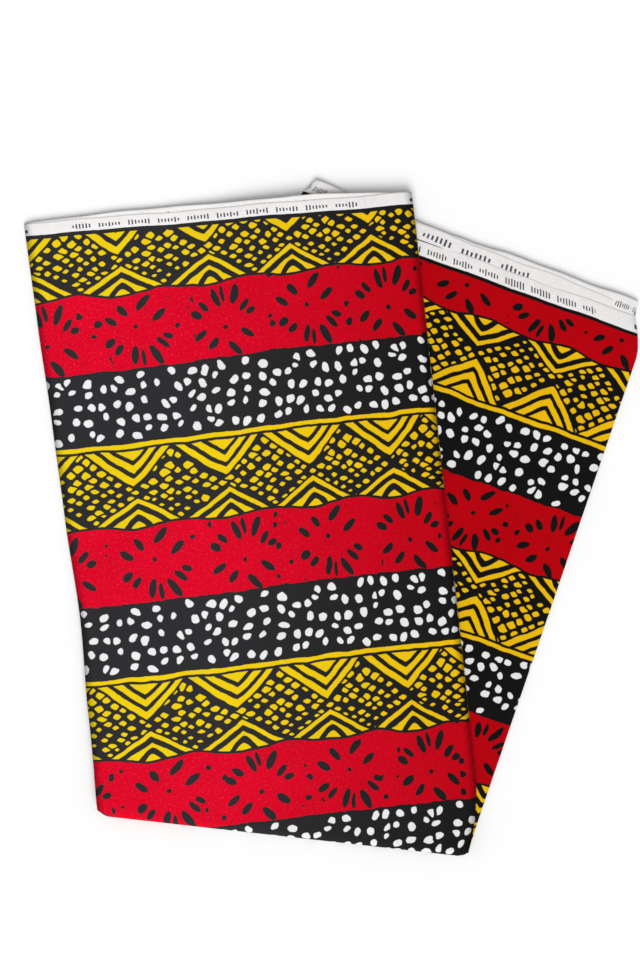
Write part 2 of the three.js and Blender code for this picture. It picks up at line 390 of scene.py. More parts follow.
# Wax-printed cotton: a flat, matt face with a fine plain weave, dyed through in hard-edged shapes.
def waxPrintedCotton():
    material = bpy.data.materials.new("waxPrintedCotton")
    material.use_nodes = True
    tree = material.node_tree
    tree.nodes.clear()
    add = partial(addNode, tree)
    spacing = registration["motifSpacing"]

    printUv = add("UVMap", uv_map="print")
    clothUv = add("UVMap", uv_map="cloth")
    place = add("VectorMath", {0: printUv, 3: 1000.0}, "SCALE")
    cloth = add("VectorMath", {0: clothUv, 3: 1000.0}, "SCALE")

    # hand-cut edges: a slow wander and a finer one
    wanders = []
    for length in (waxPrint["slowWander"][0], waxPrint["fineWander"][0]):
        wander = add("TexNoise", {"Vector": place, "Scale": 1 / length, "Detail": 1.0}, output="Color")
        wanders.append(add("VectorMath", (wander, (0.5, 0.5, 0.5)), "SUBTRACT"))
    slow = add("VectorMath", {0: wanders[0], 3: waxPrint["slowWander"][1]}, "SCALE")
    moved = []
    for reach in waxPrint["fineWander"][1:]:
        wander = add("VectorMath", {0: wanders[1], 3: reach}, "SCALE")
        wander = add("VectorMath", (slow, wander), "ADD")
        moved.append(add("VectorMath", (place, wander), "ADD"))
    ruled = add("SeparateXYZ", (moved[0],)).node
    rough = add("SeparateXYZ", (moved[1],)).node
    across, down = ruled.outputs[0], ruled.outputs[1]
    onBack = add("Math", (down, waxPrint["backStart"]), "GREATER_THAN")

    inRepeat = add("Math", (down, -waxPrint["firstLine"]), "ADD")
    inRepeat = add("Math", (inRepeat, waxPrint["repeat"], 0.0), "WRAP")
    below = add("Math", (inRepeat, -chevrons["top"]), "ADD")
    roughBelow = add("Math", (rough.outputs[1], down), "SUBTRACT")
    roughBelow = add("Math", (roughBelow, below), "ADD")

    # how far inside a stroke a value lies
    def inStroke(value, middle, half):
        off = add("Math", (value, -middle), "ADD")
        off = add("Math", (off,), "ABSOLUTE")
        return add("Math", (half, off), "SUBTRACT")

    # how far inside a chevron, and inside a peak, a place lies
    aside = add("Math", (onBack, peaks["backAside"], peaks["aside"]), "MULTIPLY_ADD")

    def insides(across, below):
        end = chevrons["right"] + chevrons["gap"]
        x = add("Math", (across, end - spacing, end), "WRAP")
        rightArm = add("Math", (x, 1 / chevrons["right"]), "MULTIPLY")
        leftArm = add("Math", (x, -1 / chevrons["left"]), "MULTIPLY")
        arm = add("Math", (rightArm, leftArm), "MAXIMUM")
        arm = add("Math", (arm, chevrons["bow"]), "POWER")
        drop = add("Math", (arm, -chevrons["depth"], chevrons["depth"]), "MULTIPLY_ADD")
        inChevron = add("Math", (drop, below), "SUBTRACT")
        fromPeak = add("Math", (x, aside), "ADD")
        fromPeak = add("Math", (fromPeak, spacing / 2, -spacing / 2), "WRAP")
        fromPeak = add("Math", (fromPeak,), "ABSOLUTE")
        slope = peaks["height"] / (spacing / 2)
        fall = add("Math", (fromPeak, slope, peaks["top"] - chevrons["top"]), "MULTIPLY_ADD")
        inPeak = add("Math", (below, fall), "SUBTRACT")
        return x, inChevron, fromPeak, inPeak

    x, inChevron, fromPeak, inPeak = insides(across, below)

    # chevrons: yellow and black strokes, and a solid heart
    chevron = add("Math", (inChevron, -chevrons["heart"]), "ADD")
    for low, high in chevrons["strokes"]:
        stroke = inStroke(inChevron, (low + high) / 2, (high - low) / 2)
        chevron = add("Math", (chevron, stroke), "MAXIMUM")
    chevron = add("Math", (chevron, chevrons["slant"]), "MULTIPLY")

    # peaks: a stroke, and a body with an arch in it
    wave = add("Math", (x, 2 * math.pi / spacing), "MULTIPLY")
    wave = add("Math", (wave,), "COSINE")
    redStart = add("Math", (wave, redBand["wave"], redBand["start"]), "MULTIPLY_ADD")
    sinceRed = add("Math", (inRepeat, redStart), "SUBTRACT")
    above = add("Math", (-redBand["outline"], sinceRed), "SUBTRACT")
    arches = []
    for height, half in peaks["arches"]:
        arch = add("Math", (fromPeak, 1 / half), "MULTIPLY")
        arch = add("Math", (arch, peaks["archBow"]), "POWER")
        arch = add("Math", (arch, -height, height), "MULTIPLY_ADD")
        arches.append(add("Math", (arch, above), "SUBTRACT"))
    outside = add("Math", (arches[0], -1.0), "MULTIPLY")
    body = add("Math", (outside, arches[1]), "MAXIMUM")
    inner = add("Math", (inPeak, -peaks["body"]), "ADD")
    body = add("Math", (body, inner), "MINIMUM")
    stroke = inStroke(inPeak, peaks["halfStroke"], peaks["halfStroke"])
    peak = add("Math", (stroke, body), "MAXIMUM")
    peak = add("Math", (peak, peaks["slant"]), "MULTIPLY")

    # rounded blocks fill the diamonds between, in rows along both slopes, smaller towards the red
    rows, moreRows = blocks["rows"]
    size, sizeBelow, sizeAtRandom = blocks["size"]
    crowd = add("Math", (below, moreRows, rows), "MULTIPLY_ADD")
    crowd = add("Math", (crowd, roughBelow), "MULTIPLY")
    spread = add("Math", (rough.outputs[0], 1 / blocks["spacing"]), "MULTIPLY")
    rising = add("Math", (spread, crowd), "ADD")
    falling = add("Math", (spread, crowd), "SUBTRACT")
    lattice = add("CombineXYZ", (rising, falling, 0.0))
    cells = {"Vector": lattice, "Scale": 1.0, "Randomness": blocks["randomness"]}
    nearest = add("TexVoronoi", cells | {"Exponent": blocks["squareness"]},
                  voronoi_dimensions="2D", distance="MINKOWSKI", output="Distance")
    apart = add("TexVoronoi", cells, voronoi_dimensions="2D", feature="DISTANCE_TO_EDGE", output="Distance")
    apart = add("Math", (apart, *blocks["apart"]), "MULTIPLY_ADD")
    tint = add("SeparateColor", (nearest.node.outputs["Color"],))
    blockSize = add("Math", (below, sizeBelow, size), "MULTIPLY_ADD")
    blockSize = add("Math", (tint, sizeAtRandom, blockSize), "MULTIPLY_ADD")
    block = add("Math", (blockSize, nearest), "SUBTRACT")
    block = add("Math", (block, blocks["cell"]), "MULTIPLY")
    block = add("Math", (block, apart, blocks["rounding"][0]), "SMOOTH_MIN")
    # a block shows only if its middle is clear of the chevrons and peaks, and the middle's place is solved
    # from the rule that the rows crowd by
    middle = add("SeparateXYZ", (nearest.node.outputs["Position"],)).node
    middleX = add("Math", (middle.outputs[0], middle.outputs[1]), "ADD")
    middleX = add("Math", (middleX, blocks["spacing"] / 2), "MULTIPLY")
    middleY = add("Math", (middle.outputs[0], middle.outputs[1]), "SUBTRACT")
    middleY = add("Math", (middleY, 2 * moreRows, rows ** 2), "MULTIPLY_ADD")
    middleY = add("Math", (middleY,), "SQRT")
    middleY = add("Math", (middleY, 0.5 / moreRows, -0.5 * rows / moreRows), "MULTIPLY_ADD")
    within = add("Math", insides(middleX, middleY)[1::2], "MAXIMUM")
    shows = add("Math", (within, blocks["clear"]), "LESS_THAN")
    block = add("Math", (block, blocks["sunk"]), "ADD")
    block = add("Math", (block, shows, -blocks["sunk"]), "MULTIPLY_ADD")
    clear = add("Math", (inChevron, *blocks["besideChevrons"]), "MULTIPLY_ADD")
    clearOfPeak = add("Math", (inPeak, *blocks["besidePeaks"]), "MULTIPLY_ADD")
    clear = add("Math", (clear, clearOfPeak), "MINIMUM")
    block = add("Math", (block, clear, blocks["rounding"][1]), "SMOOTH_MIN")

    band = add("Math", (chevron, peak), "MAXIMUM")
    band = add("Math", (band, block), "MAXIMUM")
    band = add("Math", (band, below), "MINIMUM")
    band = add("Math", (band, above), "MINIMUM")
    line = inStroke(inRepeat, waxPrint["line"] / 2, waxPrint["line"] / 2)
    yellow = add("Math", (band, line), "MAXIMUM")

    # white pebbles in rows on the black band
    toBlack = chevrons["top"] - redBand["end"]
    room = waxPrint["repeat"] - redBand["end"] - pebbles["spare"]
    pebbleX = add("Math", (rough.outputs[0], 1 / pebbles["spacing"]), "MULTIPLY")
    pebbleY = add("Math", (roughBelow, toBlack - pebbles["start"]), "ADD")
    pebbleY = add("Math", (pebbleY, pebbles["rows"] / room), "MULTIPLY")
    pebbleAt = add("CombineXYZ", (pebbleX, pebbleY, 0.0))
    cells = {"Vector": pebbleAt, "Scale": 1.0, "Randomness": pebbles["randomness"]}
    nearest = add("TexVoronoi", cells, voronoi_dimensions="2D", output="Position")
    apart = add("TexVoronoi", cells, voronoi_dimensions="2D", feature="DISTANCE_TO_EDGE", output="Distance")
    apart = add("Math", (apart, *pebbles["apart"]), "MULTIPLY_ADD")
    tint = add("SeparateColor", (nearest.node.outputs["Color"],)).node
    fromMiddle = add("VectorMath", (pebbleAt, nearest), "SUBTRACT")
    turnBy = add("Math", (tint.outputs[0], pebbles["turn"]), "MULTIPLY")
    fromMiddle = add("VectorRotate", {"Vector": fromMiddle, "Angle": turnBy}, rotation_type="Z_AXIS")
    fromMiddle = add("VectorMath", (fromMiddle, pebbles["stretch"]), "MULTIPLY")
    fromMiddle = add("VectorMath", (fromMiddle,), "LENGTH", output="Value")
    size, sizeAtRandom = pebbles["size"]
    pebbleSize = add("Math", (tint.outputs[1], sizeAtRandom, size), "MULTIPLY_ADD")
    pebble = add("Math", (pebbleSize, fromMiddle), "SUBTRACT")
    pebble = add("Math", (pebble, pebbles["cell"]), "MULTIPLY")
    pebble = add("Math", (pebble, apart, pebbles["rounding"][0]), "SMOOTH_MIN")
    upperRoom = add("Math", (roughBelow, toBlack - pebbles["margins"][0]), "ADD")
    lowerRoom = add("Math", (waxPrint["repeat"] - pebbles["margins"][1], inRepeat), "SUBTRACT")
    room = add("Math", (upperRoom, lowerRoom), "MINIMUM")
    pebble = add("Math", (pebble, room, pebbles["rounding"][1]), "SMOOTH_MIN")
    row = add("SeparateXYZ", (nearest,), output=1)
    firstRow = add("Math", (row, pebbles["rowsKept"][0]), "GREATER_THAN")
    lastRow = add("Math", (row, pebbles["rows"] - pebbles["rowsKept"][1]), "LESS_THAN")
    inRows = add("Math", (firstRow, lastRow), "MULTIPLY")

    # bursts of seeds on the red band, every second one turned over
    shift = add("MapRange", (down, *bursts["down"], *bursts["shift"]))
    shift = add("Math", (onBack, bursts["backShift"], shift), "MULTIPLY_ADD")
    burstX = add("Math", (across, shift), "ADD")
    odd = add("Math", (burstX, 1 / spacing, 0.5), "MULTIPLY_ADD")
    odd = add("Math", (odd,), "FLOOR")
    odd = add("Math", (odd, 2.0), "FLOORED_MODULO")
    flip = add("Math", (odd, 2.0, -1.0), "MULTIPLY_ADD")
    burstX = add("Math", (burstX, spacing / 2, -spacing / 2), "WRAP")
    burstY = add("Math", (onBack, bursts["backRise"], bursts["middle"]), "MULTIPLY_ADD")
    burstY = add("Math", (burstY, inRepeat), "SUBTRACT")
    burstY = add("Math", (burstY, flip), "MULTIPLY")
    burstY = add("Math", (burstY, -bursts["offset"]), "ADD")
    # the far half of every upright burst leans aside
    lean = add("Math", (burstY, 0.0), "MINIMUM")
    lean = add("Math", (lean, odd), "MULTIPLY")
    burstX = add("Math", (lean, bursts["lean"], burstX), "MULTIPLY_ADD")
    burstAt = add("CombineXYZ", (burstX, burstY, 0.0))
    seed = None
    for angle, far, length, width, askew in bursts["seeds"]:
        angle = math.radians(angle)
        local = add("Mapping", {
            "Vector": burstAt,
            "Location": (far * math.cos(angle), far * math.sin(angle), 0),
            "Rotation": (0, 0, angle + math.radians(askew)),
            "Scale": (length / 2, width / 2, 1),
        }, vector_type="TEXTURE")
        size = add("VectorMath", (local,), "LENGTH", output="Value")
        seed = size if seed is None else add("Math", (seed, size), "MINIMUM")
    seed = add("Math", (seed, -bursts["edge"], bursts["edge"]), "MULTIPLY_ADD")
    heart = add("VectorMath", (burstAt,), "LENGTH", output="Value")
    heart = add("Math", (bursts["heart"], heart), "SUBTRACT")
    seed = add("Math", (seed, heart), "MAXIMUM")
    # loose specks between the bursts
    cells = {"Vector": moved[1], "Scale": 1 / specks["spacing"]}
    nearest = add("TexVoronoi", cells, voronoi_dimensions="2D", output="Distance")
    tint = add("SeparateColor", (nearest.node.outputs["Color"],))
    size, sizeAtRandom = specks["size"]
    speckSize = add("Math", (tint, sizeAtRandom, size), "MULTIPLY_ADD")
    speck = add("Math", (speckSize, nearest), "SUBTRACT")
    speck = add("Math", (speck, specks["cell"]), "MULTIPLY")
    wide = add("Math", (burstX,), "ABSOLUTE")
    wide = add("Math", (wide, -specks["fromBurst"]), "ADD")
    speck = add("Math", (speck, wide), "MINIMUM")
    seed = add("Math", (seed, speck), "MAXIMUM")
    redRest = add("Math", (roughBelow, -1.0, -toBlack), "MULTIPLY_ADD")
    inRed = add("Math", (sinceRed, redRest), "MINIMUM")
    unseeded = add("Math", (seed, -1.0), "MULTIPLY")
    red = add("Math", (inRed, unseeded), "MINIMUM")

    masks = {}
    for name, field in (("yellow", yellow), ("red", red), ("white", pebble)):
        masks[name] = add("MapRange", (field, *waxPrint["dyeEdge"]), interpolation_type="SMOOTHSTEP")
    masks["white"] = add("Math", (masks["white"], inRows), "MULTIPLY")

    # the bare edge beyond the last line, with dashes in it
    edge = add("SeparateXYZ", (cloth,)).node
    run, fromSelvedge = edge.outputs[0], edge.outputs[1]
    edgeWander = add("SeparateXYZ", (wanders[1],), output=1)
    fromEdge = add("Math", (edgeWander, selvedge["wander"], fromSelvedge), "MULTIPLY_ADD")
    blur = selvedge["blur"]
    inPrint = add("MapRange", (fromEdge, selvedge["printFrom"] - blur, selvedge["printFrom"] + blur))
    bare = add("MapRange", (fromEdge, selvedge["width"] + blur, selvedge["width"] - blur))
    dashAt = add("Math", (run, 1 / selvedge["dashSpacing"]), "MULTIPLY")
    dashIndex = add("Math", (dashAt,), "FLOOR")
    dashAt = add("Math", (dashAt,), "FRACT")
    dashAt = add("Math", (dashAt, -0.5), "ADD")
    dashAt = add("Math", (dashAt,), "ABSOLUTE")
    dashAt = add("Math", (dashAt, -selvedge["dashSpacing"], selvedge["halfDash"]), "MULTIPLY_ADD")
    dashKind = add("TexWhiteNoise", {"W": dashIndex}, noise_dimensions="1D", output="Value")
    least, more = selvedge["halfLength"]
    dashHalf = add("Math", (dashKind, more, least), "MULTIPLY_ADD")
    dashDown = inStroke(fromSelvedge, selvedge["dashMiddle"], dashHalf)
    dash = add("Math", (dashAt, dashDown), "MINIMUM")
    dash = add("MapRange", (dash, -selvedge["dashBlur"], selvedge["dashBlur"]))
    places, dashed = selvedge["group"]
    group = add("Math", (dashIndex, places, 0.0), "WRAP")
    group = add("Math", (group, dashed), "LESS_THAN")
    stretch = add("Math", (run, selvedge["stretch"][0], 0.0), "WRAP")
    stretch = add("Math", (stretch, *selvedge["stretch"][1:]), "COMPARE")
    group = add("Math", (group, stretch), "MULTIPLY")
    dash = add("Math", (dash, group), "MULTIPLY")
    tick = add("Math", (run, stripWidth / 2, -stripWidth / 2), "WRAP")
    tick = add("Math", (tick,), "ABSOLUTE")
    tick = add("Math", (tick, selvedge["tick"][0]), "LESS_THAN")
    tickDown = add("Math", (fromSelvedge, *selvedge["tick"][1:]), "COMPARE")
    tick = add("Math", (tick, tickDown), "MULTIPLY")
    dash = add("Math", (dash, tick), "MAXIMUM")

    # painted light and shade: every colour is lighter along the cloth towards the front wing's left side,
    # darker again towards its right edge, and darkest on the back wing, standing in for light that falls
    # off to the right
    paintedLitShare = add("MapRange", (run, *wearAndPaintedShade["paintedLitRange"]))
    paintedEndShade = add("MapRange", (run, *wearAndPaintedShade["paintedShadeRange"]))
    paintedLitShare = add("Math", (paintedLitShare, paintedEndShade), "SUBTRACT")
    undyed = {"ground": waxPrint["ground"], "bare": selvedge["bare"]}
    tones = {}
    # each tone is mixed between its painted-shade colour and its painted-light colour
    for name, (shadedTone, litTone) in (undyed | waxPrint["dyes"]).items():
        tones[name] = add("Mix", {0: paintedLitShare, 6: hexColour(shadedTone), 7: hexColour(litTone)}, output=2,
                          data_type="RGBA")
    colour = tones["ground"]
    for name in waxPrint["dyes"]:
        mask = add("Math", (masks[name], inPrint), "MULTIPLY")
        colour = add("Mix", {0: mask, 6: colour, 7: tones[name]}, output=2, data_type="RGBA")
    marked = add("Mix", {0: dash, 6: tones["bare"], 7: hexColour(selvedge["mark"])}, output=2,
                 data_type="RGBA")
    colour = add("Mix", {0: bare, 6: colour, 7: marked}, output=2, data_type="RGBA")

    # threads: real ones are 0.3 mm apart, drawn here as coarser streaks along and across that still show
    streaks = None
    fine, long = wearAndPaintedShade["thread"]
    for scale in ((fine, long, 1.0), (long, fine, 1.0)):
        streak = add("VectorMath", (cloth, scale), "MULTIPLY")
        streak = add("TexNoise", {"Vector": streak, "Scale": 1.0}, output="Fac")
        streaks = streak if streaks is None else add("Math", (streaks, streak), "ADD")
    threads = add("MapRange", (streaks, *wearAndPaintedShade["threadShade"]))
    # the dye's cloudy depth
    cloudy = add("TexNoise", {"Vector": cloth, "Scale": 1 / wearAndPaintedShade["cloud"], "Detail": 3.0}, output="Fac")
    cloudy = add("MapRange", (cloudy, *wearAndPaintedShade["cloudShade"]))
    # the selvedge's own edge: dense, slightly grey yarn, and painted shade for the dark line where the
    # stacked edges meet
    yarnAndPaintedShade = add("MapRange", (fromSelvedge, *wearAndPaintedShade["yarnAndPaintedShade"]))
    # painted shade: the outermost layer is darker along its two long edges, where its folds round away from
    # the light
    paintedEdgeShade = add("Math", (run, -(folding["layers"] - 1) * stripWidth), "ADD")
    paintedEdgeShade = add("Math", (paintedEdgeShade,), "ABSOLUTE")
    fromLast = add("Math", (folding["layers"] * stripWidth, run), "SUBTRACT")
    paintedEdgeShade = add("Math", (paintedEdgeShade, fromLast), "MINIMUM")
    paintedEdgeShade = add("MapRange", (paintedEdgeShade, *wearAndPaintedShade["paintedEdgeShade"]), interpolation_type="SMOOTHSTEP")
    shade = threads
    for part in (cloudy, yarnAndPaintedShade, paintedEdgeShade):
        shade = add("Math", (shade, part), "MULTIPLY")
    # pale flecks in the red, where the dye sits thinly on raised threads
    fleck = add("TexNoise", {"Vector": cloth, "Scale": 0.45, "Roughness": 0.7}, output="Fac")
    fleck = add("MapRange", (fleck, *wearAndPaintedShade["fleck"]))
    for part in (paintedLitShare, masks["red"]):
        fleck = add("Math", (fleck, part), "MULTIPLY")
    fleck = add("VectorMath", {0: wearAndPaintedShade["fleckTint"], 3: fleck}, "SCALE")
    colour = add("VectorMath", {0: colour, 3: shade}, "SCALE")
    colour = add("VectorMath", (colour, fleck), "ADD")

    bump = add("Bump", {"Strength": 0.25, "Distance": 0.00015, "Height": streaks})
    shader = add("BsdfPrincipled", {"Base Color": colour, "Roughness": 0.8, "Normal": bump,
                                    "Specular IOR Level": 0.035})
    add("OutputMaterial", {"Surface": shader})
    return material


cotton = waxPrintedCotton()
print("material made")

# How far each layer stands out past its wing's selvedge line, at even places from left to right.
layerEnds = {
    "front": {14: (0, 0), 13: (0.5, 4.3, 4.6, 4.8, 0.8), 12: (0, 3.4, 3.9, 3.6, 0.6)},
    "back": {0: (0, 0), 1: (20, 14.5, 12.5, 10.5, 7.5), 2: (21.3, 15.5, 14, 15, 14), 14: (6, 5, 4, 4, 3)},
    "frontRest": (0, 3.0, 3.4, 3.2, 0),
    "backRest": (12, 12, 12, 13, 12),
    "outermost": {"front": 12, "back": 3},
    "step": 0.42,
    "ripples": ((0.35, 23, 2.1), (0.25, 9.5, 4.7)),  # reach, length and shift from layer to layer
    "loose": (1, 2),  # the back wing's layers that ripple more
    "looseRipple": 2.0,
    "cornerIn": {1: 10, 2: 12},  # how far left corners are drawn in at the back wing's selvedge
    "cornerRest": 6,
}


def reachOf(wing, layer, x):
    share = x / stripWidth
    if layer in layerEnds[wing]:
        reach = along(layerEnds[wing][layer], share)
    else:
        depth = abs(layer - layerEnds["outermost"][wing])
        reach = along(layerEnds[wing + "Rest"], share) - depth * layerEnds["step"]
    ripple = sum(size * np.sin(x / length + layer * shift) for size, length, shift in layerEnds["ripples"])
    isLoose = wing == "back" and layer in layerEnds["loose"]
    return reach + ripple * (layerEnds["looseRipple"] if isLoose else 1.0)


# Makes a closed thin cloth from a grid of points, with its two maps: places on the cloth, and on the print.
def clothPiece(name, points, faces, clothMap, printMap, thickness):
    mesh = bpy.data.meshes.new(name)
    mesh.from_pydata((points.reshape(-1, 3) * mm).tolist(), [], faces)
    mesh.update()
    corner = np.zeros(len(mesh.loops), int)
    mesh.loops.foreach_get("vertex_index", corner)
    for mapName, values in (("print", printMap), ("cloth", clothMap)):
        layer = mesh.uv_layers.new(name=mapName)
        layer.data.foreach_set("uv", (values.reshape(-1, 2)[corner] * mm).astype(np.float32).ravel())
    piece = bpy.data.objects.new(name, mesh)
    bpy.context.collection.objects.link(piece)
    solid = piece.modifiers.new("thickness", "SOLIDIFY")
    solid.thickness = thickness * mm
    solid.offset = 0
    solid.use_even_offset = False
    solid.use_quality_normals = True
    evaluated = piece.evaluated_get(bpy.context.evaluated_depsgraph_get())
    closed = bpy.data.meshes.new_from_object(evaluated)
    piece.modifiers.remove(solid)
    piece.data = closed
    closed.name = name
    closed.materials.clear()
    closed.materials.append(cotton)
    closed.polygons.foreach_set("use_smooth", [True] * len(closed.polygons))
    closed.set_sharp_from_angle(angle=math.radians(50))
    return piece


def gridFaces(rows, columns):
    index = np.arange(rows * columns).reshape(rows, columns)
    quads = np.stack([index[:-1, :-1], index[:-1, 1:], index[1:, 1:], index[1:, :-1]], -1)
    return quads.reshape(-1, 4).tolist()


# Soft rises of the cloth that faces up: middle across and down, half length and width, turn, height.
frontRises = (
    (60, 120, 150, 26, 70, 0.5),
    (210, 210, 170, 34, 10, 0.45),
    (300, 330, 160, 30, 82, 0.55),
    (120, 420, 150, 28, 20, 0.5),
    (250, 520, 120, 22, -8, 0.6),
    (330, 560, 70, 14, 78, 0.7),
)
backRises = (
    (300, 90, 150, 24, 84, 0.45),
    (330, 260, 130, 18, 80, 0.5),
    (280, 400, 140, 22, 6, 0.4),
)


def rises(table, x, down):
    total = np.zeros(x.shape)
    for middleX, middleDown, length, width, turn, height in table:
        angle = math.radians(turn)
        run = (x - middleX) * math.cos(angle) + (down - middleDown) * math.sin(angle)
        side = -(x - middleX) * math.sin(angle) + (down - middleDown) * math.cos(angle)
        total += height * np.exp(-(run / length) ** 2 - (side / width) ** 2)
    return total


# The outermost layer: over the front wing, round the fold, and under the back wing. The innermost: over the
# back wing, and under the front. Each ends in a folded edge on one side, where it meets the next layer.
faceLayers = {
    "outerLayer": {
        "layer": 14, "height": 6.96, "foldedSide": "left", "rise": 1,
        "rows": ((0, 1, 190), (1, 2, 18), (2, 3, 50)),
        "flat": (0.366, 1.20), "replaces": ("front_panel", "under_panel"),
    },
    "innerLayer": {
        "layer": 0, "height": 0.24, "foldedSide": "right", "rise": -1,
        "rows": ((0, 1, 50), (1, 2, 8), (2, 3, 170)),
        "flat": (0.366, 1.17), "replaces": ("back_panel",),
    },
}


# What both layers are made with: columns across and how evenly they lie, the tucked limb and its bend, how
# far in from the sides, the selvedge and the fold the soft rises fade, and the thickness of the cloth.
faceCloth = {
    "columns": 96,
    "evenness": 0.35,
    "limb": (4.0, 2.6, 1.3),
    "bendSteps": 9,
    "bendRadius": 0.24,
    "riseFades": (16, 14, 25),
    "thickness": 0.34,
}


def faceLayer(name):
    own = faceLayers[name]
    even = np.linspace(0, 1, faceCloth["columns"])
    share = faceCloth["evenness"]
    inwards = stripWidth * (share * even + (1 - share) * (0.5 - 0.5 * np.cos(np.pi * even)))
    limb = np.array(faceCloth["limb"])
    bend = np.linspace(math.pi, 0, faceCloth["bendSteps"])
    radius = faceCloth["bendRadius"]
    # across: the tucked limb, the bend, and the face, given from the folded side
    acrossX = np.concatenate([limb, radius * (1 - np.sin(bend)), inwards[1:]])
    lowered = np.concatenate([np.full(len(limb), 2 * radius), radius * (1 - np.cos(bend)),
                              np.zeros(len(inwards) - 1)])
    foldedLeft = own["foldedSide"] == "left"
    x = np.clip(acrossX if foldedLeft else stripWidth - acrossX, 0, stripWidth)
    order = slice(None) if foldedLeft else slice(None, None, -1)
    x, lowered = x[order], lowered[order]
    station = [np.linspace(low, high, count, endpoint=False) for low, high, count in own["rows"]]
    xs, stations = np.meshgrid(x, np.concatenate(station + [[3.0]]))
    height = own["height"] - own["rise"] * np.broadcast_to(lowered, xs.shape)
    reachFront = reachOf("front", own["layer"], xs)
    reachBack = reachOf("back", own["layer"], xs)
    points, fromFront, fromBack = layStrip(xs, stations, height, reachFront, reachBack)
    if name == "outerLayer":
        facing, table, down = stations <= 1, frontRises, fromFront
        backShare = smooth(stations - 2)
    else:
        facing, table, down = stations >= 2, backRises, fromBack
        backShare = smooth(stations)
    sideFade, endFade, foldFade = faceCloth["riseFades"]
    fade = smooth(np.minimum(xs, stripWidth - xs) / sideFade) * smooth(down / endFade)
    fromFold = np.where(stations <= 1, 1 - stations, stations - 2)
    fade = fade * smooth(fromFold * folding["fadeLength"] / foldFade)
    points[..., 2] += np.where(facing, rises(table, xs, down) * fade, 0)
    clothMap = clothPlace(xs + own["layer"] * stripWidth, fromFront, fromBack)
    printMap = printPlace(xs, fromFront, fromBack, backShare)
    piece = clothPiece(name, points, gridFaces(*xs.shape), clothMap, printMap, faceCloth["thickness"])
    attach(piece, "root")
    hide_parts(*own["replaces"])
    print(name, len(piece.data.polygons), "faces")


# The layers between, lapped edge over edge.
laps = {
    "Layers": 13,
    "First Layer": 1,
    "Columns": 34,
    "Rows": 88,
    "Strip Width": stripWidth * mm,
    "First Height": 0.95 * mm,
    "Pitch": 0.4375 * mm,
    "Turn Share": 0.16,
    "Free End": 5.0 * mm,
    "Slide": 0.9 * mm,
    "Seed": 11,
}


